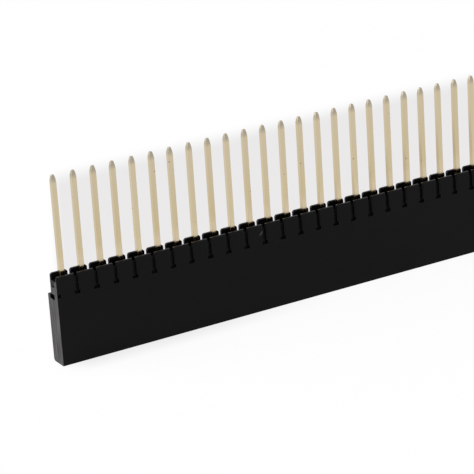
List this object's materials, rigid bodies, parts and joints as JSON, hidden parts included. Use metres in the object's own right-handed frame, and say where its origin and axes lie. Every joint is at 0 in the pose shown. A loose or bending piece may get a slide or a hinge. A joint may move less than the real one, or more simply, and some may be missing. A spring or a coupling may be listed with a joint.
{
  "type": "stack-through female pin header strip",
  "caption": "Straight single-row socket strip in a tall black housing, with long square pins rising from its open comb for stacking or soldering.",
  "frame": {"origin": "centre of the mating face, the flat end that the sockets open through", "axes": "+X along the row of contacts, -Y towards the front face with the slots, +Z from the mating face to the pin tips"},
  "size_m": [0.1018, 0.0024, 0.0229],
  "materials": {
    "housing_plastic": "black glass-filled moulding with a fine grain, a little glossier along its edges",
    "contact_plating": "pale gold plating over drawn metal"
  },
  "bodies": {
    "root": {"housing": "housing_plastic", "contact_01": "contact_plating", "contact_02": "contact_plating", "contact_03": "contact_plating", "contact_04": "contact_plating", "contact_05": "contact_plating", "contact_06": "contact_plating", "contact_07": "contact_plating", "contact_08": "contact_plating", "contact_09": "contact_plating", "contact_10": "contact_plating", "contact_11": "contact_plating", "contact_12": "contact_plating", "contact_13": "contact_plating", "contact_14": "contact_plating", "contact_15": "contact_plating", "contact_16": "contact_plating", "contact_17": "contact_plating", "contact_18": "contact_plating", "contact_19": "contact_plating", "contact_20": "contact_plating", "contact_21": "contact_plating", "contact_22": "contact_plating", "contact_23": "contact_plating", "contact_24": "contact_plating", "contact_25": "contact_plating", "contact_26": "contact_plating", "contact_27": "contact_plating", "contact_28": "contact_plating", "contact_29": "contact_plating", "contact_30": "contact_plating", "contact_31": "contact_plating", "contact_32": "contact_plating", "contact_33": "contact_plating", "contact_34": "contact_plating", "contact_35": "contact_plating", "contact_36": "contact_plating", "contact_37": "contact_plating", "contact_38": "contact_plating", "contact_39": "contact_plating", "contact_40": "contact_plating"}
  },
  "joints": []
}
